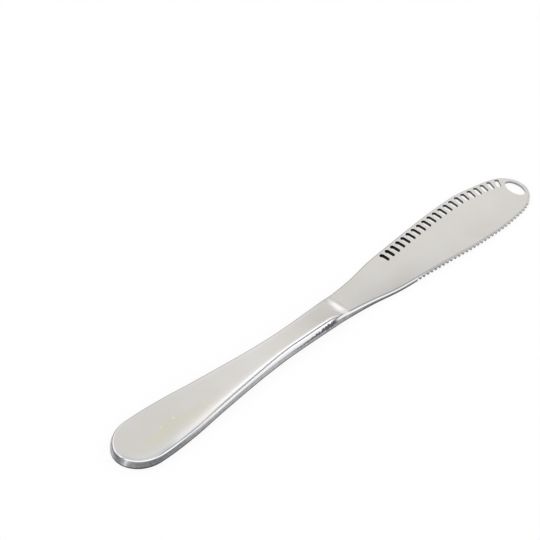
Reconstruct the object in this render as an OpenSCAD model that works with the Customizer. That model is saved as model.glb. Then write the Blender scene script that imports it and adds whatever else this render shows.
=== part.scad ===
// Butter knife, pressed and ground from one piece of stainless steel.
// It lies on its ground face, with the ramped face up: the handle end is on
// the left, the tip on the right and the slotted edge at the back.

/* [Whole knife] */
// Length from the handle end to the tip
overall_l = 200; // [180:1:220]
// Share of the length at which the handle is narrowest
neck_share = 0.385; // [0.36:0.005:0.41]

/* [Handle] */
// Widest part of the handle
handle_w = 19.8; // [17:0.1:22]
// Width of the neck, where the handle is narrowest
neck_w = 9.3; // [8.5:0.1:12]
// Distance from the handle end to its widest part
handle_swell = 14.4; // [12:0.2:20]
// How far back the round end of the handle starts
handle_round = 11.5; // [8:0.5:12]
// Thickness at the handle end
handle_end_t = 2.9; // [2.8:0.1:3.5]
// Thickness at the neck, the stoutest part
neck_t = 3.8; // [3.5:0.1:4.4]
// How much the upper face falls from its flat middle to the toothed side's edge, at the neck
crown = 0.3; // [0.1:0.05:0.5]
// Width of the rounding of the upper edge at the handle end, where it is widest
edge_w = 1.4; // [1:0.1:1.8]
// Height of that rounding
edge_h = 2.4; // [1.6:0.1:2.4]
// Rounding of the lower edges
under_edge = 0.15; // [0.1:0.05:0.2]

/* [Ramp] */
// Length of the ramp from the neck's thickness down to the blade
ramp_l = 26; // [20:0.5:30]
// Distance from the handle end to the top of the ramp
ramp_start = 94; // [90:0.5:98]
// How far the ramp curves towards the tip at the edges
ramp_bow = 0.6; // [0:0.1:2]

/* [Blade] */
// Widest reach of the slotted edge from the knife's axis
slot_side = 12.9; // [11:0.1:14]
// Widest reach of the toothed edge from the knife's axis
tooth_side = 11; // [10:0.1:13]
// Distance from the tip to the widest part of the blade
blade_swell = 26; // [24:0.5:32]
// How far back the round tip starts
tip_round = 11.5; // [9:0.1:12]
// Thickness of the blade at the foot of the ramp
heel_t = 1.9; // [1.5:0.05:2.2]
// Thickness of the blade at the tip
tip_t = 1; // [0.8:0.05:1.3]

/* [Slots] */
// Number of slots that curl the butter
slot_count = 21; // [10:1:21]
// Width of a slot
slot_w = 1.7; // [1.4:0.05:1.9]
// Length of a slot, round ends included
slot_l = 4.3; // [3.5:0.1:5]
// Distance between slots, measured along the row
slot_pitch = 3.05; // [2.9:0.01:3.08]
// Steel left between a slot and the edge, as far as the widest part
slot_web = 0.95; // [0.6:0.05:1.2]
// Steel left there at the tip
tip_slot_web = 0.5; // [0.4:0.05:1]
// Distance from the tip at which the row of slots starts
slot_start = 67.9; // [66:0.1:70]

/* [Teeth] */
// Number of ground notches between the teeth
notch_count = 32; // [15:1:32]
// Distance between notches, measured along the edge
notch_pitch = 1.89; // [1.85:0.01:1.9]
// Depth of a notch on the ground face
notch_depth = 1.9; // [1.2:0.05:2.1]
// Width of a notch where it leaves the ground face
notch_w = 1.6; // [1.3:0.05:1.7]
// Width of a notch at its root
notch_root_w = 0.6; // [0.3:0.05:0.8]
// Tilt of the grinding wheel from upright, in degrees
notch_tilt = 50; // [40:1:55]
// Distance from the tip to the first notch
notch_start = 65.75; // [65:0.05:69]

/* [Hanging hole] */
// Size of the oval hole along the knife
hole_l = 5.3; // [5:0.1:6]
// Size of the oval hole across the knife
hole_w = 9.1; // [8:0.1:9.4]
// Steel left between the hole and the tip
hole_web = 1.35; // [1:0.05:1.8]
// How far the hole lies from the knife's axis, towards the slotted edge
hole_shift = 0.45; // [0:0.05:0.5]

/* [Hidden] */

// Overrun of every cut past the steel
over = 1;
// Places along the knife, from the handle end
neck_x = overall_l * neck_share;
blade_wide_x = overall_l - blade_swell;
// Three more places for the size of the rounding, as shares of the way from the swell to the neck
// and of the ramp
grip_share = 0.12;
waist_share = 0.7;
heel_share = 0.25;
// Rounding of the upper edges at the end, swell, grip, waist, neck, heel and tip, as shares of the
// width and height at the handle end
tooth_round_w_shares = [1, 0.57, 0.38, 0.4, 0.7, 0.19, 0.14];
tooth_round_h_shares = [1, 0.34, 0.4, 0.4, 0.34, 0.6, 0.13];
slot_round_w_shares = [1, 0.29, 0.29, 0.29, 0.29, 0.29, 0.14];
slot_round_h_shares = [1, 0.13, 0.13, 0.13, 0.13, 0.13, 0.13];
// Fall of the upper face towards its edges at the same places, as shares of the crown
tooth_fall_shares = [0.4, 0.4, 0.7, 0.7, 1, 0.17, 0];
slot_fall_shares = [0.4, 0.33, 0.33, 0.27, 0.27, 0, 0];
// Handle outline: [share of the way from the swell to the neck, share of the extra width left]
handle_shares = [[0, 1], [0.2, 0.87], [0.4, 0.57], [0.6, 0.31], [0.8, 0.1], [1, 0]];
// Slotted edge: [share of the way from the neck to the widest part, share of the extra width]
slot_edge_shares = [[0.125, 0.03], [0.25, 0.09], [0.375, 0.27], [0.5, 0.55], [0.625, 0.71],
                    [0.75, 0.85], [0.875, 0.96], [1, 1]];
// Toothed edge: the same, on the other side
tooth_edge_shares = [[0.125, 0.01], [0.25, 0.06], [0.375, 0.22], [0.5, 0.51], [0.625, 0.64],
                     [0.75, 0.79], [0.875, 0.95], [1, 1]];
// Nose: [share of the way from the widest part to the tip, share of the widest reach]
slot_nose_shares = [[0.2, 0.96], [0.45, 0.87], [0.7, 0.8], [1, 0.8]];
tooth_nose_shares = [[0.2, 0.99], [0.45, 0.93], [0.7, 0.86], [1, 0.78]];
// Handle thickness: [share of the way from the swell to the ramp, share of the way to the neck's]
swell_t_shares = [[0, 0], [0.45, 0.75], [0.8, 1], [1, 1]];
// Ramp: [share of its length, share of the fall to the blade], steepest near its top
ramp_t_shares = [[0.155, 0.06], [0.22, 0.15], [0.3, 0.345], [0.355, 0.43], [0.62, 0.71],
                 [0.85, 0.915], [1, 1]];
// Stations along each round end and along the straight run between them
end_steps = 8;
run_steps = 66;
// Steps round an edge, and across the upper face
edge_steps = 4;
under_steps = 2;
face_steps = 8;

// Slope of the smooth curve at station i: level where the curve turns
function fall(p, i) = (p[i + 1][1] - p[i][1]) / (p[i + 1][0] - p[i][0]);
function slope(p, i) =
    i == 0 ? fall(p, 0)
    : i == len(p) - 1 ? fall(p, i - 1)
    : fall(p, i - 1) * fall(p, i) <= 0 ? 0
    : (p[i + 1][1] - p[i - 1][1]) / (p[i + 1][0] - p[i - 1][0]);

// Smooth curve through the stations [place, value]
function curve(p, x) =
    let (i = max(concat([0], [for (k = [0 : len(p) - 2]) if (x >= p[k][0]) k])),
         h = p[i + 1][0] - p[i][0],
         t = max(0, min(1, (x - p[i][0]) / h)))
    (2 * t * t * t - 3 * t * t + 1) * p[i][1]
    + (t * t * t - 2 * t * t + t) * h * slope(p, i)
    + (3 * t * t - 2 * t * t * t) * p[i + 1][1]
    + (t * t * t - t * t) * h * slope(p, i + 1);

// Stations of one edge: the handle's half width, then out to the blade's reach
function edge_stations(reach, edge_shares, nose_shares) = concat(
    [[0, handle_w / 2]],
    [for (s = handle_shares) [handle_swell + (neck_x - handle_swell) * s[0],
                              neck_w / 2 + (handle_w - neck_w) / 2 * s[1]]],
    [for (s = edge_shares) [neck_x + (blade_wide_x - neck_x) * s[0],
                            neck_w / 2 + (reach - neck_w / 2) * s[1]]],
    [for (s = nose_shares) [blade_wide_x + blade_swell * s[0], reach * s[1]]]);
slot_edge = edge_stations(slot_side, slot_edge_shares, slot_nose_shares);
tooth_edge = edge_stations(tooth_side, tooth_edge_shares, tooth_nose_shares);

// How far a round end has closed in at x: 0 along the knife and 1 at its ends
function closed(x) = max(0, 1 - x / handle_round, 1 - (overall_l - x) / tip_round);
// Both ends close in a quarter of an ellipse
function reach_y(edge, x) = curve(edge, x) * sqrt(max(0, 1 - pow(closed(x), 2)));

// Thickness in the middle of the upper face
t_stations = concat(
    [[0, handle_end_t]],
    [for (s = swell_t_shares) [handle_swell + (ramp_start - handle_swell) * s[0],
                               handle_end_t + (neck_t - handle_end_t) * s[1]]],
    [for (s = ramp_t_shares) [ramp_start + ramp_l * s[0], neck_t + (heel_t - neck_t) * s[1]]],
    [[overall_l, tip_t]]);
// Stations of a size that changes along the knife; the neck's share holds as far as the ramp
function toward_neck(share) = handle_swell + (neck_x - handle_swell) * share;
edge_places = [0, handle_swell, toward_neck(grip_share), toward_neck(waist_share), neck_x, ramp_start,
               ramp_start + ramp_l * heel_share, overall_l];
function along_edge(most, shares) =
    [for (k = [0 : 7]) [edge_places[k], most * shares[k > 4 ? k - 1 : k]]];
tooth_round_w = along_edge(edge_w, tooth_round_w_shares);
tooth_round_h = along_edge(edge_h, tooth_round_h_shares);
slot_round_w = along_edge(edge_w, slot_round_w_shares);
slot_round_h = along_edge(edge_h, slot_round_h_shares);
tooth_fall = along_edge(crown, tooth_fall_shares);
slot_fall = along_edge(crown, slot_fall_shares);
// Height of the upper face over a point, before its edge is rounded
function face_z(x, y) =
    let (side = y / curve(y >= 0 ? slot_edge : tooth_edge, x),
         outness = min(1, side * side + pow(closed(x), 2)),
         drop = (curve(slot_fall, x) * (1 + side) + curve(tooth_fall, x) * (1 - side)) / 2)
    curve(t_stations, x - ramp_bow * side * side) - drop * outness * outness;

// Places of the stations along the knife, closer together at the round ends
run_l = overall_l - handle_round - tip_round;
places = concat(
    [for (k = [0 : end_steps - 1]) handle_round * (1 - cos(90 * k / end_steps))],
    [for (k = [0 : run_steps - 1]) handle_round + run_l * k / run_steps],
    [for (k = [0 : end_steps]) overall_l - tip_round * (1 - sin(90 * k / end_steps))]);
last = len(places) - 1;

// Outline seen from above: the slotted edge out to the tip, the toothed edge back
outline = concat([for (x = places) [x, reach_y(slot_edge, x)]],
                 [for (k = [last - 1 : -1 : 1]) [places[k], -reach_y(tooth_edge, places[k])]]);
count = len(outline);
function around(i) = outline[(i + count) % count];
// Unit vector from outline point i into the steel
function inward(i) = let (d = around(i + 1) - around(i - 1)) [d[1], -d[0]] / norm(d);
// Where the outline's middle lies across the knife
mid_y = (max([for (p = outline) p[1]]) + min([for (p = outline) p[1]])) / 2;

// Each ring follows the outline: [inset as a share of the rounding, drop as a share of it]
function quarter(k, n) = [1 - cos(90 * k / n), 1 - sin(90 * k / n)];
upper_ring_shares = [for (k = [0 : edge_steps]) quarter(k, edge_steps)];
under_ring_shares = [for (k = [under_steps : -1 : 0]) quarter(k, under_steps)];
function ring(i, s, lower) =
    let (p = around(i), back = p[1] >= 0,
         w = curve(back ? slot_round_w : tooth_round_w, p[0]),
         h = curve(back ? slot_round_h : tooth_round_h, p[0]),
         at = p + inward(i) * (lower ? under_edge : w) * s[0])
    concat(at, [lower ? under_edge * s[1] : face_z(at[0], at[1]) - h * s[1]]);
ring_points = concat(
    [for (s = under_ring_shares) for (i = [0 : count - 1]) ring(i, s, true)],
    [for (s = upper_ring_shares) for (i = [0 : count - 1]) ring(i, s, false)]);
rings = len(under_ring_shares) + len(upper_ring_shares);
function at_ring(k, i) = k * count + (i + count) % count;

// Points across the upper face, between the innermost ring's two sides
function rim(i) = ring(i, upper_ring_shares[edge_steps], false);
face_points = [for (k = [1 : last - 1]) for (j = [1 : face_steps - 1])
    let (side = 1 - 2 * j / face_steps, p = (rim(k) * (1 + side) + rim(-k) * (1 - side)) / 2)
    [p[0], p[1], face_z(p[0], p[1])]];
function at_face(k, j) =
    k == 0 || k == last ? at_ring(rings - 1, k)
    : j == 0 ? at_ring(rings - 1, k)
    : j == face_steps ? at_ring(rings - 1, -k)
    : rings * count + (k - 1) * (face_steps - 1) + j - 1;

// The whole knife before its holes are punched
module blank() {
    bands = [for (k = [0 : rings - 2]) for (i = [0 : count - 1])
        for (f = [[at_ring(k, i), at_ring(k, i + 1), at_ring(k + 1, i + 1)],
                  [at_ring(k, i), at_ring(k + 1, i + 1), at_ring(k + 1, i)]]) f];
    top = [for (k = [0 : last - 1]) for (j = [0 : face_steps - 1])
        for (f = concat(k < last - 1 ? [[at_face(k, j), at_face(k + 1, j), at_face(k + 1, j + 1)]] : [],
                        k > 0 ? [[at_face(k, j), at_face(k + 1, j + 1), at_face(k, j + 1)]] : [])) f];
    bottom = [for (k = [0 : last - 1])
        for (f = concat(k < last - 1 ? [[at_ring(0, -k), at_ring(0, -k - 1), at_ring(0, k + 1)]] : [],
                        k > 0 ? [[at_ring(0, -k), at_ring(0, k + 1), at_ring(0, k)]] : [])) f];
    polyhedron(points = concat(ring_points, face_points), faces = concat(bands, top, bottom));
}

// Direction of an edge at x, in degrees, found across one step to each side
function heading(edge, x, step) = atan2(reach_y(edge, x + step) - reach_y(edge, x - step), 2 * step);
// Point that lies the depth in from the edge at x
function in_from(edge, x, depth, step) =
    let (turn = heading(edge, x, step)) [x + depth * sin(turn), reach_y(edge, x) - depth * cos(turn)];
// Places on the edge whose points at that depth lie an even pitch apart
function stepped(edge, x, depth, pitch, n) =
    n == 0 ? []
    : concat([x], stepped(edge, x + pitch * pitch / norm(in_from(edge, x + pitch, depth, pitch)
                                                         - in_from(edge, x, depth, pitch)),
                          depth, pitch, n - 1));

// A slot with round ends, upright through the blade, its length along Y
module slot() {
    straight = slot_l - slot_w;
    translate([0, 0, -over]) linear_extrude(heel_t + 2 * over) union() {
        square([slot_w, straight], center = true);
        for (end = [-1, 1]) translate([0, end * straight / 2]) circle(d = slot_w, $fn = 24);
    }
}

// The row of slots along the back edge, each square to it
module slots() {
    row = slot_web + slot_l / 2;
    for (x = stepped(slot_edge, overall_l - slot_start, row, slot_pitch, slot_count)) {
        web = slot_web + (tip_slot_web - slot_web) * max(0, 1 - (overall_l - x) / blade_swell);
        translate([x, reach_y(slot_edge, x), 0]) rotate(heading(slot_edge, x, slot_pitch))
            translate([0, -web - slot_l / 2, 0]) slot();
    }
}

// A ground notch: a groove that runs down and in, widest on the ground face
module notch() {
    t = heel_t + over;
    // Half of the groove's section; its root falls as it runs inward
    deep = notch_depth * cos(notch_tilt);
    half = [[notch_root_w / 2, 0], [notch_w / 2, -deep], [notch_w / 2, -deep - over]];
    translate([0, notch_depth, 0]) rotate([notch_tilt, 0, 0]) translate([0, 0, -2 * over])
        linear_extrude(t / cos(notch_tilt) + 2 * over)
            polygon(concat(half, [for (k = [2 : -1 : 0]) [-half[k][0], half[k][1]]]));
}

// The row of notches along the front edge
module notches() {
    for (x = stepped(tooth_edge, overall_l - notch_start, 0, notch_pitch, notch_count))
        translate([x, -reach_y(tooth_edge, x), 0]) rotate(-heading(tooth_edge, x, notch_pitch)) notch();
}

// The oval hole, punched through near the tip
module hanging_hole() {
    // Points round the oval
    steps = 36;
    translate([overall_l - hole_web - hole_l / 2, hole_shift, -over]) linear_extrude(heel_t + 2 * over)
        polygon([for (k = [0 : steps - 1]) let (turn = 360 * k / steps)
            [hole_l / 2 * cos(turn), hole_w / 2 * sin(turn)]]);
}

module knife() {
    color([0.8, 0.79, 0.77]) translate([-overall_l / 2, -mid_y, 0]) difference() {
        blank();
        slots();
        notches();
        hanging_hole();
    }
}

knife();
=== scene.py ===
# %% [markdown]
# # A steel butter knife, dressed for its picture
# The knife is one piece of stainless steel: it is blanked from strip, its handle
# is pressed thick, its blade is rolled thin, and then the slots, the teeth and the
# hanging hole are cut. It has no joint, so there is one model and one finish, and
# all the work lies in a clean surface and in what the polished steel reflects.
#
# The CAD model comes in as a fixed frame that gives the sizes.

# %% Start and load the frame
import math
import bmesh
import bpy
import numpy as np
from mathutils import Matrix, Vector
from mathutils.geometry import delaunay_2d_cdt


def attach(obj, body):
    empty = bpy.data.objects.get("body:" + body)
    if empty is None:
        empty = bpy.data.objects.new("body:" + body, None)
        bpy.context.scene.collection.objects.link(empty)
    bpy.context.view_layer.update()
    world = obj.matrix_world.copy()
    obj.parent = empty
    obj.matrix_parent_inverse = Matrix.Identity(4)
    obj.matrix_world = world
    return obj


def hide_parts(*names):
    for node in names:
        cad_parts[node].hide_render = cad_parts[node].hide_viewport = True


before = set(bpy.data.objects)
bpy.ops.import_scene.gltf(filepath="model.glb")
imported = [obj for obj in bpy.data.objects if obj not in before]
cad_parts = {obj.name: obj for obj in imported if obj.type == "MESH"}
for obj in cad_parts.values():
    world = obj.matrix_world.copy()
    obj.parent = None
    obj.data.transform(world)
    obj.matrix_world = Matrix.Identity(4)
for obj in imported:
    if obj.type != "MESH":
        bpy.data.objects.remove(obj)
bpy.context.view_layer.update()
MM = 0.001


# %% [markdown]
# ## The knife's outline
# A cutler draws a knife as two edges along one axis. Each edge here is a list of
# stations, a place along the knife and a reach out from the axis, and a smooth
# curve runs through them. A Bezier curve would do as well, but with stations each
# number is a size that can be measured on the real knife. The curve is level at
# every station where the edge turns, so it never bulges past its widest place.

# %% A smooth curve through stations
def curve(stations, x):
    """Value of the smooth curve through the stations at x, a number or an array."""
    px, py = np.array(stations, float).T
    h = np.diff(px)
    fall = np.diff(py) / h
    between = np.where(fall[:-1] * fall[1:] > 0, (py[2:] - py[:-2]) / (px[2:] - px[:-2]), 0)
    slope = np.concatenate([fall[:1], between, fall[-1:]])
    x = np.asarray(x, float)
    i = np.clip(np.searchsorted(px, x, side="right") - 1, 0, len(px) - 2)
    t = np.clip((x - px[i]) / h[i], 0, 1)
    return ((2 * t**3 - 3 * t**2 + 1) * py[i] + (t**3 - 2 * t**2 + t) * h[i] * slope[i]
            + (3 * t**2 - 2 * t**3) * py[i + 1] + (t**3 - t**2) * h[i] * slope[i + 1])


print("a rise of 1 over 10, halfway:", float(curve([(0, 0), (10, 1)], 5)))

# %% The two edges
LENGTH = 200.0
SWELL_X, NECK_X, BLADE_X = 14.4, 77.0, 174.0    # widest handle, neck, widest blade
HANDLE_W, NECK_W = 19.8, 9.3
SLOT_SIDE, TOOTH_SIDE = 12.9, 11.0              # the blade's reach from the axis on its two sides
# Shares of the way along a stretch of the knife, and of the way out
HANDLE_TAPER = [(0, 1), (0.2, 0.87), (0.4, 0.57), (0.6, 0.31), (0.8, 0.1), (1, 0)]
SLOT_FLARE = [(0.125, 0.03), (0.25, 0.09), (0.375, 0.27), (0.5, 0.55), (0.625, 0.71), (0.75, 0.85),
              (0.875, 0.96), (1, 1)]
TOOTH_FLARE = [(0.125, 0.01), (0.25, 0.06), (0.375, 0.22), (0.5, 0.51), (0.625, 0.64), (0.75, 0.79),
               (0.875, 0.95), (1, 1)]
SLOT_NOSE = [(0.2, 0.96), (0.45, 0.87), (0.7, 0.8), (1, 0.8)]
TOOTH_NOSE = [(0.2, 0.99), (0.45, 0.93), (0.7, 0.86), (1, 0.78)]


def edge_stations(widest, flare, nose):
    """Stations of one edge: the tapering handle, the blade out to its widest, and the nose."""
    half, neck = HANDLE_W / 2, NECK_W / 2
    return ([(0, half)]
            + [(SWELL_X + (NECK_X - SWELL_X) * a, neck + (half - neck) * b) for a, b in HANDLE_TAPER]
            + [(NECK_X + (BLADE_X - NECK_X) * a, neck + (widest - neck) * b) for a, b in flare]
            + [(BLADE_X + (LENGTH - BLADE_X) * a, widest * b) for a, b in nose])


slot_edge = edge_stations(SLOT_SIDE, SLOT_FLARE, SLOT_NOSE)
tooth_edge = edge_stations(TOOTH_SIDE, TOOTH_FLARE, TOOTH_NOSE)
print("stations:", len(slot_edge), "on the slotted edge,", len(tooth_edge), "on the toothed edge")

# %% [markdown]
# Both ends of the knife are round. The edges could be drawn right round them, but
# a curve of reach against place can't stand upright at its end. So each end is
# closed by a quarter of an ellipse that the reach is multiplied by. The walk round
# the outline then takes small even steps of angle there, to keep the ends smooth.

# %% Walk round the outline
HANDLE_ROUND, TIP_ROUND = 11.5, 11.5            # lengths of the two round ends
ARC_STEPS, STRAIGHT_STEPS = 22, 230


def closed(x):
    """How far a round end has closed in at x: 0 along the knife, 1 at its ends."""
    return np.maximum(np.clip(1 - x / HANDLE_ROUND, 0, 1), np.clip(1 - (LENGTH - x) / TIP_ROUND, 0, 1))


def reach(edge, x):
    """How far the edge lies from the axis at x."""
    return curve(edge, x) * np.sqrt(1 - closed(x)**2)


quarter = np.linspace(0, np.pi / 2, ARC_STEPS + 1)
places = np.concatenate([HANDLE_ROUND * (1 - np.cos(quarter[:-1])),
                         np.linspace(HANDLE_ROUND, LENGTH - TIP_ROUND, STRAIGHT_STEPS, endpoint=False),
                         LENGTH - TIP_ROUND * (1 - np.sin(quarter))])
outline = np.concatenate([np.c_[places, reach(slot_edge, places)],
                          np.c_[places, -reach(tooth_edge, places)][-2:0:-1]])
mid_y = (outline[:, 1].max() + outline[:, 1].min()) / 2
run = np.roll(outline, -1, 0) - np.roll(outline, 1, 0)
inward = np.c_[run[:, 1], -run[:, 0]] / np.linalg.norm(run, axis=1)[:, None]
print("outline points:", len(outline), "widest:", round(np.ptp(outline[:, 1]), 2), "mm")

# %% [markdown]
# ## The upper face
# The handle is pressed: it is stoutest at the neck, its face is flat in the middle
# and falls a little towards the edges. A short ramp then leads down to the rolled
# blade. One function gives the height of the face anywhere, so the same surface
# can carry the fine grid, the rounded edge and the rims of the slots.

# %% Thickness along the knife
RAMP_X, RAMP_L, RAMP_BOW = 94.0, 26.0, 0.6      # the ramp's top, its length, its bow at the edges
RAMP_END = RAMP_X + RAMP_L
END_T, NECK_T, HEEL_T, TIP_T = 2.9, 3.8, 1.9, 1.0
HANDLE_RISE = [(0, 0), (0.45, 0.75), (0.8, 1), (1, 1)]
RAMP_FALL = [(0.155, 0.06), (0.22, 0.15), (0.3, 0.345), (0.355, 0.43), (0.62, 0.71), (0.85, 0.915), (1, 1)]
thickness = ([(0, END_T)]
             + [(SWELL_X + (RAMP_X - SWELL_X) * a, END_T + (NECK_T - END_T) * b) for a, b in HANDLE_RISE]
             + [(RAMP_X + RAMP_L * a, NECK_T + (HEEL_T - NECK_T) * b) for a, b in RAMP_FALL]
             + [(LENGTH, TIP_T)])
print("thickness at the swell, the neck, the ramp's foot and the tip:",
      [round(float(curve(thickness, x)), 2) for x in (SWELL_X, NECK_X, RAMP_END, LENGTH)])

# %% Rounding of the edges, and height of the face
GRIP_SHARE, WAIST_SHARE, HEEL_SHARE = 0.12, 0.7, 0.25
GRIP_X = SWELL_X + GRIP_SHARE * (NECK_X - SWELL_X)
WAIST_X = SWELL_X + WAIST_SHARE * (NECK_X - SWELL_X)
HEEL_X = RAMP_X + HEEL_SHARE * RAMP_L
EDGE_PLACES = (0, SWELL_X, GRIP_X, WAIST_X, NECK_X, RAMP_X, HEEL_X, LENGTH)


def along_edge(most, shares):
    """Stations of a size that changes along the knife; the neck's share holds as far as the ramp."""
    end, swell, grip, waist, neck, heel, tip = shares
    return [(x, most * share)
            for x, share in zip(EDGE_PLACES, (end, swell, grip, waist, neck, neck, heel, tip))]


# Width and height of the upper edge's rounding, on the toothed and on the slotted side
EDGE_W, EDGE_H, CROWN = 1.4, 2.4, 0.3
tooth_round_w = along_edge(EDGE_W, (1, 0.57, 0.38, 0.4, 0.7, 0.19, 0.14))
tooth_round_h = along_edge(EDGE_H, (1, 0.34, 0.4, 0.4, 0.34, 0.6, 0.13))
slot_round_w = along_edge(EDGE_W, (1, 0.29, 0.29, 0.29, 0.29, 0.29, 0.14))
slot_round_h = along_edge(EDGE_H, (1, 0.13, 0.13, 0.13, 0.13, 0.13, 0.13))
# Fall of the face towards the two edges
tooth_fall = along_edge(CROWN, (0.4, 0.4, 0.7, 0.7, 1, 0.17, 0))
slot_fall = along_edge(CROWN, (0.4, 0.33, 0.33, 0.27, 0.27, 0, 0))


def face_z(x, y):
    """Height of the upper face over a point, before its edge is rounded."""
    side = y / np.where(y >= 0, curve(slot_edge, x), curve(tooth_edge, x))
    outness = np.clip(side**2 + closed(x)**2, 0, 1)
    fall = (curve(slot_fall, x) * (1 + side) + curve(tooth_fall, x) * (1 - side)) / 2
    return curve(thickness, x - RAMP_BOW * side**2) - fall * outness**2


print("height of the neck's face at its middle and at its toothed edge:",
      [round(float(face_z(NECK_X, y)), 2) for y in (0, -NECK_W / 2)])

# %% [markdown]
# ## Slots and hanging hole
# The slots curl the butter as the knife is drawn over it. A punch makes them, so
# their walls are upright and their rims are barely broken. Each one stands square
# to the edge. Cutting them with a boolean is quick, but it leaves ragged corners
# on a polished face. Here every opening is a ring of points that is triangulated
# together with the face, which keeps the reflections clean round it.

# %% Places that follow an edge
def heading(edge, x, step):
    """Direction of the edge at x, from one step before to one step after."""
    return math.atan2(reach(edge, x + step) - reach(edge, x - step), 2 * step)


def in_from(edge, x, depth, step):
    """The point that lies square in from the edge at x, at that depth."""
    turn = heading(edge, x, step)
    return np.array([x + depth * math.sin(turn), reach(edge, x) - depth * math.cos(turn)])


def stepped(edge, x, depth, pitch, n):
    """Places on the edge whose points at that depth lie an even pitch apart."""
    found = []
    for _ in range(n):
        found.append(x)
        gap = np.linalg.norm(in_from(edge, x + pitch, depth, pitch) - in_from(edge, x, depth, pitch))
        x = x + pitch * pitch / gap
    return found


SLOT_N, SLOT_W, SLOT_L, SLOT_PITCH = 21, 1.7, 4.3, 3.05
SLOT_START, SLOT_WEB, TIP_WEB = 132.1, 0.95, 0.5     # the web is the steel left outside a slot
slot_places = stepped(slot_edge, SLOT_START, SLOT_WEB + SLOT_L / 2, SLOT_PITCH, SLOT_N)
print("slots from", round(slot_places[0], 1), "to", round(slot_places[-1], 1), "mm")

# %% The rings of the openings
HOLE_L, HOLE_W, HOLE_WEB, HOLE_SHIFT = 5.3, 9.1, 1.35, 0.45
SLOT_ARC_POINTS, HOLE_POINTS = 13, 64


def slot_ring(x, grow):
    """A slot's outline, grown all round, as points in order."""
    web = SLOT_WEB + (TIP_WEB - SLOT_WEB) * max(0, 1 - (LENGTH - x) / (LENGTH - BLADE_X))
    turn = heading(slot_edge, x, SLOT_PITCH)
    centre = in_from(slot_edge, x, web + SLOT_L / 2, SLOT_PITCH)
    r, half = SLOT_W / 2 + grow, (SLOT_L - SLOT_W) / 2
    a = np.linspace(0, np.pi, SLOT_ARC_POINTS)
    ring = np.concatenate([np.c_[r * np.cos(a), half + r * np.sin(a)],
                           [[-r, half * k] for k in (0.5, 0, -0.5)],
                           np.c_[-r * np.cos(a), -half - r * np.sin(a)],
                           [[r, half * k] for k in (-0.5, 0, 0.5)]])
    c, s = math.cos(turn), math.sin(turn)
    return ring @ np.array([[c, s], [-s, c]]) + centre


def hole_ring(grow):
    """The hanging hole's outline, an oval, grown all round."""
    a = np.linspace(0, 2 * np.pi, HOLE_POINTS, endpoint=False)
    return np.c_[LENGTH - HOLE_WEB - HOLE_L / 2 + (HOLE_L / 2 + grow) * np.cos(a),
                 HOLE_SHIFT + (HOLE_W / 2 + grow) * np.sin(a)]


openings = [lambda grow, x=x: slot_ring(x, grow) for x in slot_places] + [hole_ring]
print("openings:", len(openings), "with", sum(len(o(0)) for o in openings), "points round them")

# %% [markdown]
# ## Skin of the knife
# The skin is a stack of closed rings: up the side, over the rounded upper edge and
# in to the face. The face and the flat ground side are then filled with triangles
# between the rings, with extra points where the surface bends. This could be a
# subdivided cage too, but a cage with twenty-two openings needs far more care.

# %% Fill a face between rings
WELD = 1e-6                                      # points closer than this are one, in mm


def inside(points, ring):
    """Which of the points lie inside the ring."""
    x, y = points[:, 0], points[:, 1]
    hit = np.zeros(len(points), bool)
    for (x0, y0), (x1, y1) in zip(ring, np.roll(ring, -1, 0)):
        if y0 != y1:
            hit ^= ((y0 > y) != (y1 > y)) & (x < (x1 - x0) * (y - y0) / (y1 - y0) + x0)
    return hit


def fill(outer, holes, extra):
    """Triangles between a ring and holes: all points, triples of their numbers, how many are on rings."""
    points, edges = [], []
    for ring in [outer] + holes:
        first = len(points)
        points += [tuple(p) for p in ring]
        edges += [(first + k, first + (k + 1) % len(ring)) for k in range(len(ring))]
    fixed = len(points)
    points += [tuple(p) for p in extra]
    made, _, faces, sources, _, _ = delaunay_2d_cdt([Vector(p) for p in points], edges, [], 0, WELD)
    made = np.array([tuple(v) for v in made])
    source = np.array([ids[0] if ids else -1 for ids in sources])
    assert len(made) == len(points) and source.min() >= 0, "the fill lost a point"
    faces = np.array([f for f in faces if len(f) == 3])
    middle = made[faces].mean(1)
    keep = inside(middle, outer)
    for hole in holes:
        keep &= ~inside(middle, hole)
    return np.array(points), source[faces[keep]], fixed


square = [(0, 0), (1, 0), (1, 1), (0, 1)]
print("triangles that fill a square:", len(fill(square, [], [])[1]))

# %% [markdown]
# A pressed face bends in every direction, most of all on the ramp. Triangles that
# only joined the rings would stretch right across it and lose the bend. Splitting
# all of them evenly would work, but it wastes points on the flat blade. So rows of
# extra points cross the face, closer together where it bends.

# %% Extra points on the two faces
CLEAR = 0.35                                     # no extra point lies closer than this to a ring


def grid(outer, holes, lengthwise, rows):
    """Points spread over the inside of a ring, clear of the rings."""
    found = []
    for x in lengthwise:
        top, low = reach(slot_edge, x), -reach(tooth_edge, x)
        found += [(x, low + (top - low) * k / rows) for k in range(1, rows)]
    found = np.array(found)
    every = np.concatenate([outer] + holes)
    gap = np.sqrt(((found[:, None] - every[None])**2).sum(2)).min(1)
    keep = inside(found, outer) & (gap > CLEAR)
    for hole in holes:
        keep &= ~inside(found, hole)
    return found[keep]


# Stretches of the grid, as their start, end and step
HANDLE_RUN, RAMP_RUN, BLADE_RUN = (1.8, 96, 1.1), (96, 118, 0.4), (118.5, 199, 1.3)
GROUND_RUN = (2, 199, 4.0)
TOP_ROWS, GROUND_ROWS = 22, 6
top_places = np.concatenate([np.arange(*stretch) for stretch in (HANDLE_RUN, RAMP_RUN, BLADE_RUN)])
ground_places = np.arange(*GROUND_RUN)
print("rows across:", len(top_places), "on the face,", len(ground_places), "on the ground side")

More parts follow.
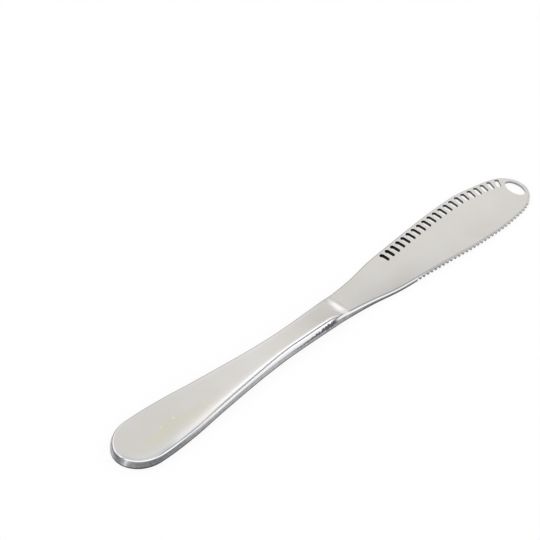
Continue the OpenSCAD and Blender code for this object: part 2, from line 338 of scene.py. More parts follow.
# %% [markdown]
# The side of the knife is the press's cut: an upright wall, hardly broken at the
# bottom and well rounded at the top. A bevel modifier could round it, but with one
# width all along. Here each ring takes its own share of a quarter round, so the
# rounding can swell at the handle's end and shrink at the tip.

# %% Stack the rings of the side
UNDER_EDGE, UNDER_STEPS, EDGE_STEPS = 0.15, 4, 12    # the lower edge's rounding, and steps of both
SIDE_SHARES = (0.33, 0.67)
verts, tris, quads = [], [], []


def add_ring(points, z):
    """Add points at a height, or at one each, and give their numbers."""
    first = len(verts)
    verts.extend((x, y, h) for (x, y), h in zip(points, np.broadcast_to(z, len(points))))
    return np.arange(first, first + len(points))


def bridge(a, b):
    """A band of quads between two rings, which turn the same way."""
    for k in range(len(a)):
        n = (k + 1) % len(a)
        quads.append((a[k], a[n], b[n], b[k]))


def quarter_round(steps):
    """Shares of a rounding's width and height, from the upright side to the level face."""
    turns = [np.pi / 2 * k / steps for k in range(steps + 1)]
    return [(1 - math.cos(a), 1 - math.sin(a)) for a in turns]


on_slot_side = outline[:, 1] >= 0
round_w = np.where(on_slot_side, curve(slot_round_w, outline[:, 0]), curve(tooth_round_w, outline[:, 0]))
round_h = np.where(on_slot_side, curve(slot_round_h, outline[:, 0]), curve(tooth_round_h, outline[:, 0]))
edge_z = face_z(outline[:, 0], outline[:, 1]) - round_h
stack = [add_ring(outline + inward * UNDER_EDGE * w, UNDER_EDGE * h)
         for w, h in reversed(quarter_round(UNDER_STEPS))]
stack += [add_ring(outline, UNDER_EDGE + (edge_z - UNDER_EDGE) * share) for share in SIDE_SHARES]
for w, h in quarter_round(EDGE_STEPS):
    at = outline + inward * (round_w * w)[:, None]
    stack.append(add_ring(at, face_z(at[:, 0], at[:, 1]) - round_h * h))
for lower, upper in zip(stack[:-1], stack[1:]):
    bridge(upper, lower)
print("side:", len(stack), "rings and", len(quads), "quads")

# %% [markdown]
# A punched opening has an upright wall between two barely broken rims. A flat hole
# in the face would show the mesh's inside, so each opening gets a lining: a stack
# of rings from the face down to the ground side, as the knife's own side has.

# %% Line the openings
RIM_W, RIM_H, RIM_STEPS = 0.1, 0.08, 3           # the broken rim of a punched opening
top_rings, ground_rings, slot_walls, hole_walls = [], [], [], []
for o in openings:
    rings = []
    for w, h in reversed(quarter_round(RIM_STEPS)):
        at = o(RIM_W * w)
        rings.append(add_ring(at, face_z(at[:, 0], at[:, 1]) - RIM_H * h))
    at = o(0)
    rings.append(add_ring(at, face_z(at[:, 0], at[:, 1]) / 2))
    rings.append(add_ring(at, RIM_H / 2))
    rings.append(add_ring(o(RIM_W / 2), 0))
    walls = hole_walls if o is hole_ring else slot_walls
    walls.extend(int(k) for k in np.concatenate(rings[RIM_STEPS:]))
    top_rings.append(rings[0])
    ground_rings.append(rings[-1])
    for upper, lower in zip(rings[:-1], rings[1:]):
        bridge(upper, lower)
print("walls:", len(slot_walls), "points in the slots,", len(hole_walls), "in the hole")

# %% Close the two faces
def close(outer_ids, hole_ids, holes, extra, z_of, flip):
    """Fill a face with triangles; flip turns them to look down."""
    outer = np.array([verts[i][:2] for i in outer_ids])
    points, faces, fixed = fill(outer, holes, grid(outer, holes, *extra))
    ids = np.concatenate([outer_ids] + hole_ids + [add_ring(points[fixed:], z_of(points[fixed:]))])
    for a, b, c in ids[faces]:
        p, q, r = (np.array(verts[i][:2]) for i in (a, b, c))
        up = (q - p)[0] * (r - p)[1] - (q - p)[1] * (r - p)[0] > 0
        tris.append((a, b, c) if up != flip else (c, b, a))


close(stack[-1], top_rings, [o(RIM_W) for o in openings], (top_places, TOP_ROWS),
      lambda p: face_z(p[:, 0], p[:, 1]), False)
close(stack[0], ground_rings, [o(RIM_W / 2) for o in openings], (ground_places, GROUND_ROWS),
      lambda p: np.zeros(len(p)), True)
print("skin:", len(verts), "points,", len(tris), "triangles and", len(quads), "quads")

# %% [markdown]
# The skin becomes a mesh, moved so that the middle of the knife lies where the CAD model's does. The walls
# that a punch or a wheel leaves get painted shade in the finish, darker than the polished face, because
# tight openings are shaded. The finish could look for them by their slope, but the rounded edges slope as
# well. So each wall's faces carry a number as a mark.

# %% Make it a mesh
placed = (np.array(verts) - [LENGTH / 2, mid_y, 0]) * MM
steel_mesh = bpy.data.meshes.new("steel_knife")
steel_mesh.from_pydata([tuple(map(float, p)) for p in placed], [],
                       [tuple(map(int, f)) for f in tris + quads])
steel_mesh.update()
print("mesh:", len(steel_mesh.polygons), "faces")

# %% Mark the punched walls
# The marks pick out the walls that get painted shade in the finish.
SLOT_MARK, HOLE_MARK, NOTCH_MARK = 1.0, 0.75, 0.5
cut_mark = steel_mesh.attributes.new("cut", "FLOAT", "FACE")
for walls, mark in ((set(slot_walls), SLOT_MARK), (set(hole_walls), HOLE_MARK)):
    for polygon in steel_mesh.polygons:
        if walls.issuperset(polygon.vertices):
            cut_mark.data[polygon.index].value = mark
print("marked faces:", sum(mark.value > 0 for mark in cut_mark.data))

# %% Turn every face outwards and look for gaps
bm = bmesh.new()
bm.from_mesh(steel_mesh)
bmesh.ops.recalc_face_normals(bm, faces=bm.faces)
open_edges = sum(not e.is_manifold for e in bm.edges)
bm.to_mesh(steel_mesh)
bm.free()
knife = bpy.data.objects.new("steel_knife", steel_mesh)
bpy.context.scene.collection.objects.link(knife)
print("open edges:", open_edges)
assert open_edges == 0

# %% [markdown]
# ## The ground teeth
# A grinding wheel, tilted, makes the teeth: each pass leaves a groove that is deep
# on the flat side and runs out just under the face. The teeth are what is left
# between the grooves. This is a cut across a corner, which is where a boolean is
# at its best, and a ground tooth is sharp, so its edges need no rounding.

# %% One wheel for each notch
NOTCH_N, NOTCH_PITCH, NOTCH_START = 32, 1.89, 134.25
NOTCH_DEEP, NOTCH_W, NOTCH_ROOT, NOTCH_TILT = 1.9, 1.6, 0.6, math.radians(50)
WHEEL_LOW, WHEEL_HIGH, WHEEL_SPARE = -2, 4.5, 0.8    # how far a wheel reaches past the steel
groove = NOTCH_DEEP * math.cos(NOTCH_TILT)
half = [(NOTCH_ROOT / 2, 0), (NOTCH_W / 2, -groove), (NOTCH_W / 2, -groove - WHEEL_SPARE)]
section = half + [(-x, y) for x, y in half[::-1]]
wheels = bmesh.new()
for x in stepped(tooth_edge, NOTCH_START, 0, NOTCH_PITCH, NOTCH_N):
    place = (Matrix.Translation((x - LENGTH / 2, -reach(tooth_edge, x) - mid_y, 0))
             @ Matrix.Rotation(-heading(tooth_edge, x, NOTCH_PITCH), 4, "Z")
             @ Matrix.Translation((0, NOTCH_DEEP, 0)) @ Matrix.Rotation(NOTCH_TILT, 4, "X"))
    near, far = ([wheels.verts.new((place @ Vector((*corner, z))) * MM) for corner in section]
                 for z in (WHEEL_LOW, WHEEL_HIGH))
    wheels.faces.new(near[::-1])
    wheels.faces.new(far)
    for k in range(len(section)):
        n = (k + 1) % len(section)
        wheels.faces.new((near[k], near[n], far[n], far[k]))
bmesh.ops.recalc_face_normals(wheels, faces=wheels.faces)
wheel_mesh = bpy.data.meshes.new("notch_cutter")
wheels.to_mesh(wheel_mesh)
wheels.free()
wheel_mark = wheel_mesh.attributes.new("cut", "FLOAT", "FACE")
wheel_mark.data.foreach_set("value", [NOTCH_MARK] * len(wheel_mesh.polygons))
print("wheels:", NOTCH_N, "with", len(wheel_mesh.polygons), "faces")

# %% Grind the notches
SHARP = math.radians(32)                         # edges that turn more than this stay sharp
wheel = bpy.data.objects.new("notch_cutter", wheel_mesh)
bpy.context.scene.collection.objects.link(wheel)
cut = knife.modifiers.new("notches", "BOOLEAN")
cut.operation, cut.solver, cut.object = "DIFFERENCE", "EXACT", wheel
finished = bpy.data.meshes.new_from_object(knife.evaluated_get(bpy.context.evaluated_depsgraph_get()))
knife.modifiers.clear()
knife.data = finished
bpy.data.objects.remove(wheel)
finished.shade_smooth()
finished.set_sharp_from_angle(angle=SHARP)
print("after grinding:", len(finished.vertices), "points and", len(finished.polygons), "faces")

# %% [markdown]
# Polished steel shows every flat of the mesh that it is made of, so the face also
# gets the exact slope of its formula at each point, in place of the average of
# the triangles round it. The cuts and the rounded edges keep their own shading.

# %% Exact slope of the face
SLOPE_STEP, ON_FACE, SAME_WAY = 0.02, 0.002, 0.9
px, py, pz = (np.array([v.co for v in finished.vertices]) / MM + [LENGTH / 2, mid_y, 0]).T
slope_x = (face_z(px + SLOPE_STEP, py) - face_z(px - SLOPE_STEP, py)) / (2 * SLOPE_STEP)
slope_y = (face_z(px, py + SLOPE_STEP) - face_z(px, py - SLOPE_STEP)) / (2 * SLOPE_STEP)
exact = np.c_[-slope_x, -slope_y, np.ones(len(px))]
exact /= np.linalg.norm(exact, axis=1)[:, None]
on_face = np.abs(pz - face_z(px, py)) < ON_FACE
corner_normals = np.zeros((len(finished.loops), 3))
for polygon in finished.polygons:
    for loop in polygon.loop_indices:
        v = finished.loops[loop].vertex_index
        if on_face[v] and Vector(exact[v]).dot(polygon.normal) > SAME_WAY:
            corner_normals[loop] = exact[v]
finished.normals_split_custom_set([tuple(n) for n in corner_normals])
print("corners with an exact slope:", int((corner_normals[:, 2] > 0).sum()))

# %% [markdown]
# Painted highlights and painted dark reflections lie in strips along the knife's edge. A texture can't know
# how far away the edge is, and a strip drawn by hand would have to be drawn again for each change of the
# outline. So every point stores its own distance from the outline, and the finish reads it as it would read
# a painted mask.

# %% How far each point lies from the outline
gap = np.full(len(px), np.inf)
for (x0, y0), (x1, y1) in zip(outline, np.roll(outline, -1, 0)):
    run_x, run_y = x1 - x0, y1 - y0
    t = np.clip(((px - x0) * run_x + (py - y0) * run_y) / (run_x**2 + run_y**2), 0, 1)
    gap = np.minimum(gap, np.hypot(px - x0 - t * run_x, py - y0 - t * run_y))
# The distance places the painted highlights and painted dark reflections along the edge.
edge_gap = finished.attributes.new("edge_gap", "FLOAT", "POINT")
edge_gap.data.foreach_set("value", gap * MM)
print("deepest point:", round(gap.max(), 2), "mm from the edge")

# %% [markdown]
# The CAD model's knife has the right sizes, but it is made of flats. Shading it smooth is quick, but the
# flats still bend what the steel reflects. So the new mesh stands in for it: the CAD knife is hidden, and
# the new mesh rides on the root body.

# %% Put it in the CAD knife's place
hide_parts("knife")
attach(knife, "root")
print("the mesh now stands for the CAD knife")

# %% [markdown]
# ## Polished steel
# Stainless steel shows its surroundings more than its own colour: a slightly warm grey metal. The faces are
# polished to a fine satin. The side walls get a dull, darker grey, partly the skin that the blanking press
# leaves and partly painted shade. The rounded edges get a pale colour, a painted highlight, so that they
# shine most. Separate materials would leave a hard line between these, so one material does them all. It
# asks which way the surface points, where on the knife it lies and how far from the outline.

# %% The material, and a helper that adds nodes
steel = bpy.data.materials.new("polished_steel")
steel.use_nodes = True
nodes, links = steel.node_tree.nodes, steel.node_tree.links
shader = nodes["Principled BSDF"]
shader.inputs["Metallic"].default_value = 1.0


def rgba(colour):
    """A colour with its alpha; a single number is a grey."""
    return (*colour, 1) if isinstance(colour, tuple) else (colour, colour, colour, 1)


def feed(socket, value):
    """Link another node's output to the socket, or give the socket a value of its own."""
    if hasattr(value, "links"):
        links.new(value, socket)
    else:
        socket.default_value = rgba(value) if socket.type == "RGBA" else value


def node(kind, inputs=(), **settings):
    """A new node in the tree that nodes and links belong to."""
    made = nodes.new(kind)
    for name, value in settings.items():
        setattr(made, name, value)
    for name, value in dict(inputs).items():
        feed(made.inputs[name], value)
    return made


print("the steel starts with", len(nodes), "nodes")

# %% Sums, mixes and ramps
def maths(operation, *values):
    return node("ShaderNodeMath", dict(enumerate(values)), operation=operation).outputs[0]


def times(first, *others):
    """The product of masks: on where all of them are."""
    for other in others:
        first = maths("MULTIPLY", first, other)
    return first


def mixed(factor, a, b, blend="MIX"):
    """Colour a where the factor is 0, colour b where it is 1."""
    made = node("ShaderNodeMix", {"Factor": factor, 6: a, 7: b}, data_type="RGBA", blend_type=blend)
    return made.outputs[2]


def tinted(a, b):
    """Two colours multiplied."""
    return mixed(1.0, a, b, "MULTIPLY")


def ramp(value, *stops):
    """A colour ramp from stops, each a place between 0 and 1 and its colour."""
    made = node("ShaderNodeValToRGB", {"Fac": value})
    band = made.color_ramp.elements
    while len(band) < len(stops):
        band.new(0.5)
    for stop, (place, colour) in zip(band, stops):
        stop.position, stop.color = place, rgba(colour)
    return made.outputs["Color"]


def mm_ramp(value, low, high, *stops):
    """A ramp by a length, whose stops are given in mm between low and high."""
    share = node("ShaderNodeMapRange", {"Value": value, "From Min": low * MM, "From Max": high * MM})
    return ramp(share.outputs[0], *[((place - low) / (high - low), colour) for place, colour in stops])


print("a grey of a half, with its alpha:", rgba(0.5))

# %% [markdown]
# ### Where a point lies
# A finish is easier to judge when each part of it is given in real sizes, as a
# polisher would point at it: so far from the handle's end, so far in from the edge.
# Texture maps need the mesh unwrapped first. Here the object's own coordinates, in
# metres, and the stored distance give every place directly.

# %% Measures that the finish reads
WIDTH_SPAN = (-12, 13)                           # a little more than the knife's width
coords = node("ShaderNodeTexCoord").outputs["Object"]
position = node("ShaderNodeSeparateXYZ", {"Vector": coords}).outputs
along = maths("ADD", position["X"], LENGTH / 2 * MM)
across = maths("ADD", position["Y"], mid_y * MM)
height = position["Z"]
turned = node("ShaderNodeSeparateXYZ", {"Vector": node("ShaderNodeNewGeometry").outputs["Normal"]}).outputs
up_share = maths("ABSOLUTE", turned["Z"])
from_edge = node("ShaderNodeAttribute", attribute_name="edge_gap").outputs["Fac"]
cut_number = node("ShaderNodeAttribute", attribute_name="cut").outputs["Fac"]


def by_length(*stops):
    """A ramp along the knife, in mm from the handle's end."""
    return mm_ramp(along, 0, LENGTH, *stops)


def by_width(*stops):
    """A ramp across the knife, in mm from its axis; the toothed side is below zero."""
    return mm_ramp(across, *WIDTH_SPAN, *stops)


def by_gap(deepest, *stops):
    """A ramp by the distance in from the outline, in mm up to the deepest."""
    return mm_ramp(from_edge, 0, deepest, *stops)


def by_tilt(*stops):
    """A ramp by how level the surface is: 0 is an upright wall, 1 a level face."""
    return ramp(up_share, *stops)


def noise(scale, detail):
    """A noise over the knife; a larger scale gives finer spots."""
    return node("ShaderNodeTexNoise", {"Vector": coords, "Scale": scale, "Detail": detail}).outputs["Fac"]


print("measures:", len(nodes), "nodes")

# %% [markdown]
# ### Walls and rounded edges
# The wall that the press leaves is painted a dull grey, partly as painted shade. The rounding above it is
# bright, from the studio's reflection and a painted highlight. At the neck the dull grey ends where the
# rounding starts, and at the handle's end it reaches well up the rounding. One slope for the whole knife
# would be simpler, but it would miss that. So each stretch has a mask of its own, and they take turns along
# the knife. A painted highlight of the edge must lie near the outline too, or the ramp, which slopes as
# much, would be taken for one.

# %% Masks for walls and edges
def in_turn(mask, *changes):
    """Masks one after another along the knife: each change is from, to, and the next mask."""
    for start, end, following in changes:
        mask = mixed(by_length((start, 0), (end, 1)), mask, following)
    return mask


is_wall = in_turn(by_tilt((0.8, 1), (0.9, 0)),                       # the handle's end
                  (9, 13, by_tilt((0.66, 1), (0.82, 0))),            # the grip
                  (20, 38, by_tilt((0.08, 1), (0.3, 0))),            # the handle and the neck
                  (96, 99, by_tilt((0.06, 1), (0.1, 0))),            # the ramp and the blade
                  (133, 140, by_tilt((0.75, 1), (0.95, 0))))         # along the teeth
near_outline = in_turn(by_gap(4, (1.36, 1), (1.46, 0)),              # the handle's end
                       (8, 12, by_gap(4, (0.6, 1), (0.8, 0))),       # the grip
                       (28, 45, by_gap(4, (1.7, 1), (2.2, 0))),      # the handle and the neck
                       (94, 97, by_gap(4, (0.28, 1), (0.4, 0))))     # the ramp and the blade
# is_edge marks where the rounded edge gets its painted highlight.
is_edge = times(by_tilt((0.9965, 1), (0.9985, 0)), near_outline)
tooth_side = by_width((-1, 1), (0, 0))
is_upper = ramp(turned["Z"], (0, 0), (0.05, 1))
print("with masks:", len(nodes), "nodes")

# %% [markdown]
# ### The polished face
# The face is a warm grey with painted shade and light over it, in place of the changes its reflections show
# as it tilts: palest on the narrow handle, darkest where the ramp begins, and darker still on its toothed
# side there.
# A single grey would look like paint. Two ramps, one along and one across, carry the
# change, and a broad noise adds the faint cloudiness that hand buffing leaves.

# %% Grey of the face
broad = noise(70.0, 3.0)
# Painted shade and light along and across the face, over its own warm grey.
face_grey_and_shade = by_length((0, 0.735), (25, 0.745), (36, 0.765), (52, 0.80), (66, 0.81), (78, 0.785), (86, 0.74),
                      (92, 0.69), (97, 0.70), (104, 0.74), (110, 0.72), (118, 0.73), (135, 0.765),
                      (150, 0.785), (200, 0.80))
at_ramp = by_length((86, 0), (93, 1), (125, 1), (148, 0.3), (200, 0.3))
side_shade = by_width((-12, 0.82), (-6, 0.87), (-3, 0.93), (1, 1), (8, 1.04))
cloud_tint = ramp(broad, (0.35, (1.0, 0.975, 0.94)), (0.65, (1.01, 0.995, 0.97)))
face_colour = tinted(tinted(face_grey_and_shade, mixed(at_ramp, 1, side_shade)), cloud_tint)
print("with the face:", len(nodes), "nodes")

# %% [markdown]
# A yellowish cast and a few bright specks lie on the handle's face. Light from a coloured lamp could give
# the cast, but it would tint the table as well. A second colour under a soft mask stays on the handle.

# %% Cast and specks on the handle
YELLOWISH, SPECK_WHITE = (0.745, 0.732, 0.64), (0.95, 0.92, 0.80)
CAST_SHARE, CAST_SWAY = 0.9, 11                  # its strength, and how far the noise shifts it, in mm
swayed = maths("MULTIPLY_ADD", broad, CAST_SWAY * MM, across)
cast = times(by_length((5, 0), (14, 1), (30, 1), (48, 0)),
             mm_ramp(swayed, -12, 18, (-1.2, 0), (1.6, 1), (3.6, 1), (7, 0)))
specks = ramp(noise(420.0, 2.0), (0.66, 0), (0.72, 0.7))
face_colour = mixed(times(cast, CAST_SHARE), face_colour, YELLOWISH)
face_colour = mixed(times(cast, specks), face_colour, SPECK_WHITE)
print("with the cast:", len(nodes), "nodes")

# %% [markdown]
# ### Fine lines beside the toothed edge
# On the real knife a hair-thin dark line parts the face from its bright edge, along
# the blade and again round the handle's end, where the rim inside it is cooler.
# The lines and the cooler rim are reflections in bends finer than the edge of this model has. Modelling
# those would ask for a profile measured under a glass, so here they are painted reflections.

# %% Lines and the cool rim
LINE_DARK, RIM_COOL, END_LINE = (0.17, 0.17, 0.18), (0.60, 0.625, 0.645), (0.28, 0.29, 0.31)
blade_line = times(by_length((92, 0), (96, 0.9), (104, 0.8), (134, 0.5), (196, 0.2)),
                   by_gap(2, (0.25, 0), (0.35, 1), (0.6, 1), (0.85, 0)))
cool_rim = times(by_gap(5, (0.8, 1), (1.6, 1), (2.6, 0)),
                 by_length((14, 1), (22, 0.7), (30, 0)))
end_line = times(by_length((9, 0), (12, 0.9), (24, 0.7), (34, 0)),
                 by_gap(2, (0.7, 0), (0.85, 1), (1.05, 1), (1.25, 0)))
# Painted reflections: the dark lines and the cooler rim beside the toothed edge.
face_colour = mixed(times(blade_line, tooth_side), face_colour, LINE_DARK)
face_colour = mixed(times(cool_rim, tooth_side), face_colour, RIM_COOL)
face_colour = mixed(times(end_line, tooth_side), face_colour, END_LINE)
print("with lines:", len(nodes), "nodes")

# %% [markdown]
# ### The glint on the ramp
# Where the ramp turns down it catches the light in a narrow crescent. The shape
# alone gives a straight bar from edge to edge, because the ramp hardly bends
# across the knife. Bending it more would change the CAD shape, so colour does the
# last of it: it lifts the middle, narrows the sides and fades the two ends.

# %% Shape the glint
GLINT, GLINT_SIDE, GLINT_END = (0.8, 0.79, 0.775), (0.62, 0.62, 0.61), (0.6, 0.6, 0.59)
glint_x = by_length((98.9, 0), (100.2, 1), (102.2, 1), (103.4, 0))
glint_middle = by_width((-4, 0), (-1.5, 1), (0.5, 1), (3.5, 0))
glint_ends = by_width((-4.6, 0.9), (-3.6, 0.6), (-2, 0), (1.5, 0), (3.8, 0.9), (13, 1))
glint_sides = times(by_length((98.5, 0), (99.3, 0.8), (99.9, 0.8), (100.6, 0),
                              (101.9, 0), (102.6, 0.8), (103.2, 0.8), (103.8, 0)),
                    by_width((-4.5, 0), (-2.5, 1), (1.0, 1), (2.8, 0)))
face_colour = mixed(times(glint_x, glint_middle), face_colour, GLINT)
face_colour = mixed(glint_sides, face_colour, GLINT_SIDE)
face_colour = mixed(times(glint_x, glint_ends), face_colour, GLINT_END)
print("with the glint:", len(nodes), "nodes")

# %% [markdown]
# ### Painted highlights and dark lines on the edges
# The rounded edges get a pale colour, a painted highlight, so that they are brightest. Along the neck a
# painted highlight runs as a thin bright line just inside the edge. The far, slotted edge is the reverse: a
# thin painted dark reflection, darker than the face. The masks made above say where each one goes.

# %% Colour of the edges
NECK_HIGHLIGHT, EDGE_HIGHLIGHT, FAR_DARK_REFLECTION = (0.95, 0.94, 0.93), (0.9, 0.9, 0.92), (0.36, 0.37, 0.38)
GROUND_GREY = 0.78
neck_highlight = times(by_length((35, 0), (60, 1), (92, 1), (97, 0)),
                  by_gap(4, (1.2, 0), (1.4, 1), (1.85, 1), (2.2, 0)))
far_dark_reflection = times(by_gap(2, (0.3, 1), (0.5, 0)), by_width((1, 0), (2, 1)),
                 by_length((3, 0), (6, 1), (138, 1), (160, 0.5), (200, 0.5)))
# Painted highlights on the neck and the rounded edges, and a painted dark reflection on the far edge.
face_colour = mixed(times(neck_highlight, tooth_side), face_colour, NECK_HIGHLIGHT)
face_colour = mixed(is_edge, face_colour, EDGE_HIGHLIGHT)
face_colour = mixed(far_dark_reflection, face_colour, FAR_DARK_REFLECTION)
ground_colour = tinted(GROUND_GREY, cloud_tint)  # the ground side has none of this
face_colour = mixed(is_upper, ground_colour, face_colour)
print("with edges:", len(nodes), "nodes")

# %% [markdown]
# ### The side walls
# The walls are a dull grey, partly the press's skin and partly painted light and shade. They are dark at
# the handle's end and at the ramp's foot, and paler at the neck and along the teeth. A painted bright patch
# lies across the handle's end. They are darkest where they meet the table, which is painted contact shade.
# An upright wall mirrors the white table before it and would come out nearly white. A darker table would
# spoil the picture's ground, so the wall's own grey follows the knife instead, with a fine mottle.

# %% Colour of the walls
# Painted light and shade on the walls: their grey along the knife stands in for reflection, with a painted
# bright patch at the handle's end and painted contact shade at the foot.
wall_grey_and_shade = by_length((8, 0.19), (12, 0.21), (20, 0.26), (30, 0.31), (45, 0.38), (60, 0.42), (75, 0.45),
                      (98, 0.36), (106, 0.29), (112, 0.2), (130, 0.22), (140, 0.42), (190, 0.5))
end_wall_light_and_shade = mm_ramp(across, -10, 6, (-8.7, 0.20), (-7.5, 0.215), (-5.6, 0.30), (-4, 0.36), (-3.3, 0.8),
                   (-2.7, 0.40), (-1.4, 0.26), (0, 0.20), (1.5, 0.33), (2.5, 0.41), (6, 0.5))
past_end = mm_ramp(along, 0, 20, (5, 0), (9, 1))
wall_foot_shade = mm_ramp(height, 0, 4, (0.25, 0.12), (0.55, 0.35), (0.85, 1))
wall_mottle = ramp(noise(900.0, 4.0), (0.35, (0.80, 0.81, 0.84)), (0.65, (1.15, 1.16, 1.2)))
wall_colour = tinted(tinted(mixed(past_end, end_wall_light_and_shade, wall_grey_and_shade), wall_foot_shade), wall_mottle)
steel_colour = mixed(is_wall, face_colour, wall_colour)
print("with walls:", len(nodes), "nodes")

# %% [markdown]
# A dark ragged mark runs along the toothed side of the neck, where the rounding meets the wall: a wedge
# that widens towards the ramp. It could be modelled in the steel, but it has no depth to speak of. So it is
# a dark colour between two heights, and a fine noise moves both of them up and down, which frays its rims.

# %% The mark on the neck
MARK_DARK = (0.11, 0.10, 0.12)
FRAY = 2.4                                       # how far the noise lifts the measured height, in mm
WEDGE_X, WEDGE_SLOPE = 84.0, 0.09                # where the top's stops hold, and how steeply it rises
frayed = maths("MULTIPLY_ADD", noise(1300.0, 3.0), FRAY * MM, height)
below_top = maths("MULTIPLY_ADD", along, -WEDGE_SLOPE, frayed)
drop = WEDGE_X * WEDGE_SLOPE
mark = times(mm_ramp(frayed, 0, 4, (2.7, 0), (2.9, 1)),
             mm_ramp(below_top, -8, 0, (3.75 - drop, 1), (3.9 - drop, 0)),
             by_length((66, 0), (70, 0.6), (80, 0.8), (87, 1), (95.8, 1), (97.3, 0)),
             by_width((-4.0, 1), (-3.7, 0)),
             by_tilt((0.75, 1), (0.9, 0)))
steel_colour = mixed(mark, steel_colour, MARK_DARK)
print("with the mark:", len(nodes), "nodes")

# %% [markdown]
# ### The cuts
# Inside a narrow slot the walls see mostly each other, so they look nearly black,
# with a paler foot where the white table lights them. The open notches are greyer.
# More light bounces would get part of the way at a high cost in time. The marks
# that the mesh carries let each kind of wall have the grey that the eye sees.

# %% Colour of the cuts
HOLE_GREY, SLOT_FOOT = (0.3, 0.31, 0.33), (0.62, 0.62, 0.61)


def cut_as(mark):
    """A mask of the walls with this mark or a higher one; the marks lie 0.25 apart."""
    return ramp(cut_number, (mark - 0.15, 0), (mark - 0.1, 1))


notch_grey = by_length((134, 0.14), (145, 0.2), (160, 0.34), (195, 0.4))
slot_dark = by_length((146, 0.01), (165, 0.02), (180, 0.05), (192, 0.12))
at_foot = times(mm_ramp(height, 0, 2, (0.15, 0.6), (0.5, 0)), by_length((137, 0), (150, 1)))
cut_colour = mixed(cut_as(HOLE_MARK), notch_grey, HOLE_GREY)
cut_colour = mixed(cut_as(SLOT_MARK), cut_colour, mixed(at_foot, slot_dark, SLOT_FOOT))
feed(shader.inputs["Base Color"], mixed(cut_as(NOTCH_MARK), steel_colour, cut_colour))
print("with cuts:", len(nodes), "nodes")

# %% [markdown]
# ### Shine and grain
# Satin steel blurs what it reflects, a little more in some places than in others,
# and the pressed walls blur it most. A very fine, shallow grain breaks the edges of
# the reflections. Real scratches would need a far closer view to be seen.

# %% Roughness and bump
POLISH, PRESSED = (0.10, 0.14), 0.3              # roughness of the face, least and most, and of the walls
GRAIN_STRENGTH, GRAIN_DEPTH = 0.04, 0.02
face_rough = node("ShaderNodeMapRange", {"Value": broad, "From Min": 0.3, "From Max": 0.7,
                                         "To Min": POLISH[0], "To Max": POLISH[1]}).outputs[0]
rough = node("ShaderNodeMix", {"Factor": is_wall, 2: face_rough, 3: PRESSED}, data_type="FLOAT").outputs[0]
bump = node("ShaderNodeBump", {"Height": noise(2600.0, 2.0), "Strength": GRAIN_STRENGTH,
                              "Distance": GRAIN_DEPTH * MM})
feed(shader.inputs["Roughness"], rough)
feed(shader.inputs["Normal"], bump.outputs["Normal"])
knife.data.materials.clear()
knife.data.materials.append(steel)
print("steel nodes:", len(nodes))

# %% [markdown]
# ## The white table
# The knife lies on a white table. The table is lit like any other surface, so the
# knife's soft shadow falls on it, and most of its whiteness is its own, so that it
# stays white. It lies a hair below the knife, because two surfaces in one place
# flicker, and seen from below it is clear, so that it doesn't hide the ground side.

# %% Lay the table
TABLE_SIZE, TABLE_GAP, OWN_LIGHT = 8.0, 0.05, 0.85
bpy.ops.mesh.primitive_plane_add(size=TABLE_SIZE, location=(0, 0, -TABLE_GAP * MM))
table = bpy.context.object
table.name = "table"
white = bpy.data.materials.new("table_white")
white.use_nodes = True
nodes, links = white.node_tree.nodes, white.node_tree.links     # the helpers work on these now
cloth = nodes["Principled BSDF"]
feed(cloth.inputs["Base Color"], 0.95)
feed(cloth.inputs["Roughness"], 0.9)
feed(cloth.inputs["Specular IOR Level"], 0.0)


def any_of(first, *others):
    """On where at least one of the values is."""
    for other in others:
        first = maths("MAXIMUM", first, other)
    return first


paths = node("ShaderNodeLightPath").outputs
seen = any_of(paths["Is Camera Ray"], paths["Is Glossy Ray"], paths["Is Transmission Ray"])
own_light = maths("MULTIPLY", seen, OWN_LIGHT)
glow = node("ShaderNodeEmission", {"Color": 1, "Strength": 1.0}).outputs[0]
top = node("ShaderNodeMixShader", {0: own_light, 1: cloth.outputs[0], 2: glow}).outputs[0]
below = node("ShaderNodeNewGeometry").outputs["Backfacing"]
clear = node("ShaderNodeBsdfTransparent").outputs[0]
feed(nodes["Material Output"].inputs["Surface"],
     node("ShaderNodeMixShader", {0: below, 1: top, 2: clear}).outputs[0])
table.data.materials.append(white)
print("table nodes:", len(nodes))

# %% [markdown]
# ## The studio that the steel reflects
# Steel is drawn by what surrounds it. The studio is a set of bands round the
# knife's long axis: dim low down behind the knife, a white band, the warm grey that
# its flat faces reflect, a second white band, a dark gap, and a broad white light
# overhead that fades towards the front. Lamps and cards could be set up for this,
# but a band of the world is placed by one angle. Matt surfaces are lit by an even
# white, and the camera sees plain white, so the bands only show in the steel.

# %% Bands of the studio
WARM = (0.84, 0.83, 0.815)
EVEN_WHITE = 1.05
# Degrees from the table behind the slotted edge, up over the knife to the front, and the brightness
BANDS = [(0, 0.45), (30, 0.5),
         (40, 1.25), (47.8, 1.25),
         (50.3, 0.88), (51.5, WARM), (58.2, WARM), (60.4, 0.95),
         (63.2, 1.3), (65.4, 1.4),
         (66.6, 0.15), (71.3, 0.15),
         (72.8, 1.3), (80, 1.3), (95, 1.12), (125, 1.12), (150, 0.95), (180, 0.85)]
world = bpy.data.worlds.new("studio")
world.use_nodes = True
bpy.context.scene.world = world
nodes, links = world.node_tree.nodes, world.node_tree.links     # and on these from here
nodes.clear()
toward = node("ShaderNodeSeparateXYZ", {"Vector": node("ShaderNodeTexCoord").outputs["Generated"]}).outputs
half_turns = maths("DIVIDE", maths("ARCTAN2", toward["Z"], toward["Y"]), math.pi)
studio = ramp(half_turns, *[(degrees / 180, brightness) for degrees, brightness in BANDS])
paths = node("ShaderNodeLightPath").outputs
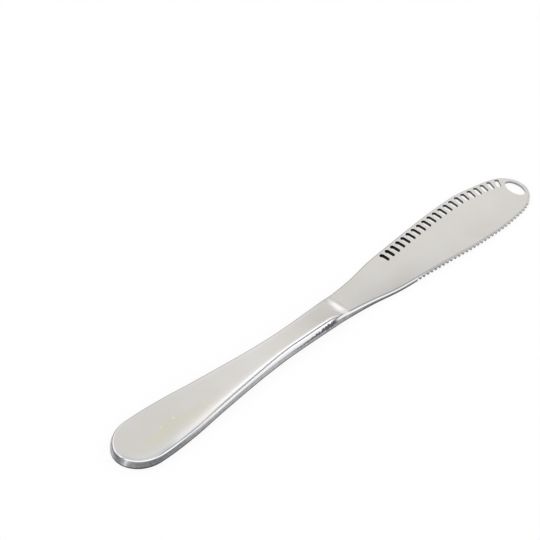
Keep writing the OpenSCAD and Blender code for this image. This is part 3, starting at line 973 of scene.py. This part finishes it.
seen = any_of(paths["Is Camera Ray"], paths["Is Transmission Ray"])
light = mixed(seen, mixed(paths["Is Diffuse Ray"], studio, EVEN_WHITE), 1)
node("ShaderNodeOutputWorld", {"Surface": node("ShaderNodeBackground", {"Color": light}).outputs[0]})
print("bands:", len(BANDS), "stops over half a turn")

# %% [markdown]
# ## The camera
# A long lens, a little over forty degrees above the table, looks at the knife from
# the toothed side. Its place was found by fitting the knife's outline to the
# photograph, and it is given here in the knife's own frame.

# %% Camera and its frame
TURN, RISE, ROLL = math.radians(45.066), math.radians(44.299), math.radians(1.925)
FRAME_PX, SENSOR = 540, 36.0
FOCAL, PER_MM = 2036.0, 2.8012                   # in pixels, and pixels to the millimetre
KNIFE_X, KNIFE_Y = 22.891, -21.081               # the knife's middle, from the middle of the view, mm

forward = np.array([0, math.cos(RISE), -math.sin(RISE)])
right = np.array([1.0, 0, 0])
up = np.cross(right, forward)
right, up = (math.cos(ROLL) * right + math.sin(ROLL) * up, -math.sin(ROLL) * right + math.cos(ROLL) * up)
eye = -forward * FOCAL / PER_MM - np.array([KNIFE_X, KNIFE_Y, 0])
c, s = math.cos(TURN), math.sin(TURN)
to_knife = np.array([[c, s, 0], [-s, c, 0], [0, 0, 1]])
eye, right, up, back = (to_knife @ v for v in (eye, right, up, -forward))
eye = eye - np.array([0, mid_y, 0])
camera_data = bpy.data.cameras.new("camera")
camera_data.sensor_width = SENSOR
camera_data.lens = FOCAL / FRAME_PX * SENSOR
camera = bpy.data.objects.new("camera", camera_data)
camera.matrix_world = Matrix([[right[k], up[k], back[k], eye[k] * MM] for k in range(3)] + [[0, 0, 0, 1]])
bpy.context.scene.collection.objects.link(camera)
bpy.context.scene.camera = camera
print("camera", [round(v, 1) for v in eye], "mm from the knife's middle, lens", round(camera_data.lens, 1))

# %% [markdown]
# ## Picture settings
# The picture's view transform is set to Standard.

# %% Picture settings
bpy.context.scene.view_settings.view_transform = "Standard"
